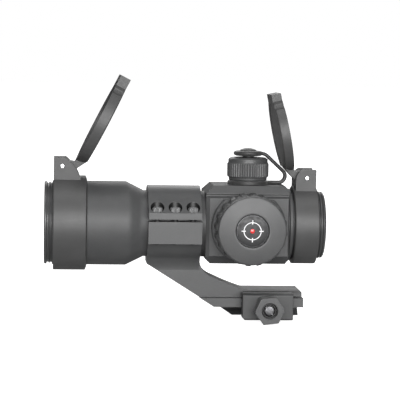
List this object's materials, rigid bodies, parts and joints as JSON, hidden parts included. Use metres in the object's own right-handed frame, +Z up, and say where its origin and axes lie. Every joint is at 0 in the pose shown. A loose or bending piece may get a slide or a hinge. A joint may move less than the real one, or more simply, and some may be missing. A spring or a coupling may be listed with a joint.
{
  "type": "red dot sight",
  "caption": "Tube red dot sight with flip-open lens covers, capped adjusters, side brightness knob and cantilever ring mount that clamps to an accessory rail.",
  "frame": {"origin": "centre of the rail seat, under the axis of the cross bolt", "axes": "+X along the optical axis to the eyepiece, +Y to the sight's right-hand side, +Z up from the rail to the optical axis"},
  "size_m": [0.1266, 0.0697, 0.11],
  "materials": {
    "housing": "matte black hard anodised",
    "mount": "matte black hard anodised, machined",
    "turned_trim": "satin black anodised",
    "cover_polymer": "fine textured black nylon",
    "tether_rubber": "matte black moulded rubber",
    "seal_rubber": "black nitrile",
    "black_steel": "black oxide",
    "bright_steel": "polished stainless",
    "inner_black": "flat black anodised",
    "lens_glass": "red reflecting dichroic coating",
    "window_glass": "clear anti-reflection coated",
    "brass": "turned brass",
    "board": "green solder mask",
    "badge_black": "gloss black",
    "led_red": "clear red epoxy",
    "cell_steel": "nickel plated"
  },
  "bodies": {
    "sight_body": {"main_housing": "housing", "front_lock_ring": "turned_trim", "rear_window": "window_glass", "rear_window_seal": "seal_rubber", "eyepiece_ring": "turned_trim", "gimbal_pins": "bright_steel", "bias_spring": "bright_steel", "elevation_turret_base": "turned_trim", "elevation_dial_clip": "bright_steel", "elevation_tether": "tether_rubber", "windage_turret_base": "turned_trim", "windage_dial_clip": "bright_steel", "windage_tether": "tether_rubber", "knob_base": "housing", "detent_ball": "bright_steel", "detent_spring": "bright_steel", "switch_board": "board", "mount_base": "mount", "ring_cap": "mount", "ring_screws": "black_steel", "clamp_bolt": "black_steel", "front_cover_ring": "cover_polymer", "front_hinge_pin": "bright_steel", "front_hinge_spring": "bright_steel", "rear_cover_ring": "cover_polymer", "rear_hinge_pin": "bright_steel", "rear_hinge_spring": "bright_steel"},
    "gimbal": {"gimbal_ring": "inner_black"},
    "inner_tube": {"inner_tube": "inner_black", "objective_lens": "lens_glass", "lens_retaining_ring": "inner_black", "led_holder": "board", "led_emitter": "led_red", "tube_pins": "bright_steel"},
    "elevation_dial": {"elevation_dial": "brass"},
    "elevation_plunger": {"elevation_plunger": "brass"},
    "windage_dial": {"windage_dial": "brass"},
    "windage_plunger": {"windage_plunger": "brass"},
    "elevation_cap_carrier": {"elevation_cap_button": "tether_rubber"},
    "elevation_cap": {"elevation_cap": "housing"},
    "windage_cap_carrier": {"windage_cap_button": "tether_rubber"},
    "windage_cap": {"windage_cap": "housing"},
    "brightness_knob": {"brightness_knob": "housing", "battery": "cell_steel", "battery_contact_spring": "brass", "knob_clip": "bright_steel", "switch_wiper": "brass"},
    "battery_cap_carrier": {"battery_cap_o_ring": "seal_rubber"},
    "battery_cap": {"battery_cap": "housing", "knob_badge": "badge_black"},
    "clamp_plate": {"clamp_plate": "mount"},
    "clamp_nut": {"clamp_nut": "black_steel"},
    "front_lid": {"front_cover_lid": "cover_polymer"},
    "rear_lid": {"rear_cover_lid": "cover_polymer"}
  },
  "joints": [
    {"name": "elevation_tilt", "type": "hinge", "parent": "sight_body", "child": "gimbal", "pos_m": [-0.086, 0, 0.037], "axis": [0, 1, 0], "range_deg": [-0.75, 0.75], "deforming": ["bias_spring"]},
    {"name": "windage_tilt", "type": "hinge", "parent": "gimbal", "child": "inner_tube", "pos_m": [-0.086, 0, 0.037], "axis": [0, 0, -1], "range_deg": [-0.75, 0.75]},
    {"name": "elevation_dial_turn", "type": "hinge", "parent": "sight_body", "child": "elevation_dial", "pos_m": [-0.0085, 0, 0.061], "axis": [0, 0, -1], "range_deg": [-721, 721]},
    {"name": "elevation_plunger_slide", "type": "slide", "parent": "sight_body", "child": "elevation_plunger", "axis": [0, 0, -1], "range_m": [-0.001, 0.001]},
    {"name": "windage_dial_turn", "type": "hinge", "parent": "sight_body", "child": "windage_dial", "pos_m": [-0.0085, 0.024, 0.037], "axis": [0, -1, 0], "range_deg": [-721, 721]},
    {"name": "windage_plunger_slide", "type": "slide", "parent": "sight_body", "child": "windage_plunger", "axis": [0, -1, 0], "range_m": [-0.001, 0.001]},
    {"name": "elevation_cap_lift", "type": "slide", "parent": "sight_body", "child": "elevation_cap_carrier", "axis": [0, 0, 1], "range_m": [0, 0.00225], "deforming": ["elevation_tether"]},
    {"name": "elevation_cap_turn", "type": "hinge", "parent": "elevation_cap_carrier", "child": "elevation_cap", "pos_m": [-0.0085, 0, 0.061], "axis": [0, 0, 1], "range_deg": [0, 1085]},
    {"name": "windage_cap_lift", "type": "slide", "parent": "sight_body", "child": "windage_cap_carrier", "axis": [0, 1, 0], "range_m": [0, 0.00225], "deforming": ["windage_tether"]},
    {"name": "windage_cap_turn", "type": "hinge", "parent": "windage_cap_carrier", "child": "windage_cap", "pos_m": [-0.0085, 0.024, 0.037], "axis": [0, 1, 0], "range_deg": [0, 1085]},
    {"name": "brightness_turn", "type": "hinge", "parent": "sight_body", "child": "brightness_knob", "pos_m": [-0.0094, -0.025, 0.037], "axis": [0, -1, 0], "range_deg": [0, 330], "deforming": ["detent_ball", "detent_spring"]},
    {"name": "battery_cap_lift", "type": "slide", "parent": "brightness_knob", "child": "battery_cap_carrier", "axis": [0, -1, 0], "range_m": [0, 0.003]},
    {"name": "battery_cap_turn", "type": "hinge", "parent": "battery_cap_carrier", "child": "battery_cap", "pos_m": [-0.0094, -0.031, 0.037], "axis": [0, -1, 0], "range_deg": [0, 1085]},
    {"name": "clamp_plate_slide", "type": "slide", "parent": "sight_body", "child": "clamp_plate", "axis": [0, -1, 0], "range_m": [0, 0.004]},
    {"name": "clamp_nut_turn", "type": "hinge", "parent": "clamp_plate", "child": "clamp_nut", "pos_m": [0, -0.021, 0.0004], "axis": [0, -1, 0], "range_deg": [0, 1805]},
    {"name": "front_lid_hinge", "type": "hinge", "parent": "sight_body", "child": "front_lid", "pos_m": [-0.0926, 0, 0.063], "axis": [0, -1, 0], "range_deg": [0, 207], "stiffness_Nm_per_rad": 0.002, "springref_deg": -45.84, "deforming": ["front_hinge_spring"]},
    {"name": "rear_lid_hinge", "type": "hinge", "parent": "sight_body", "child": "rear_lid", "pos_m": [0.0177, 0, 0.05875], "axis": [0, 1, 0], "range_deg": [0, 191.6], "stiffness_Nm_per_rad": 0.002, "springref_deg": -45.84, "deforming": ["rear_hinge_spring"]}
  ],
  "couplings": [
    {"joint": "elevation_dial_turn", "follows": "elevation_plunger_slide", "rad_per_m": 12566},
    {"joint": "elevation_tilt", "follows": "elevation_plunger_slide", "rad_per_m": 12.903},
    {"joint": "elevation_cap_turn", "follows": "elevation_cap_lift", "rad_per_m": 8377.6},
    {"joint": "windage_dial_turn", "follows": "windage_plunger_slide", "rad_per_m": 12566},
    {"joint": "windage_tilt", "follows": "windage_plunger_slide", "rad_per_m": 12.903},
    {"joint": "windage_cap_turn", "follows": "windage_cap_lift", "rad_per_m": 8377.6},
    {"joint": "battery_cap_turn", "follows": "battery_cap_lift", "rad_per_m": 6283.2},
    {"joint": "clamp_nut_turn", "follows": "clamp_plate_slide", "rad_per_m": 7854}
  ]
}
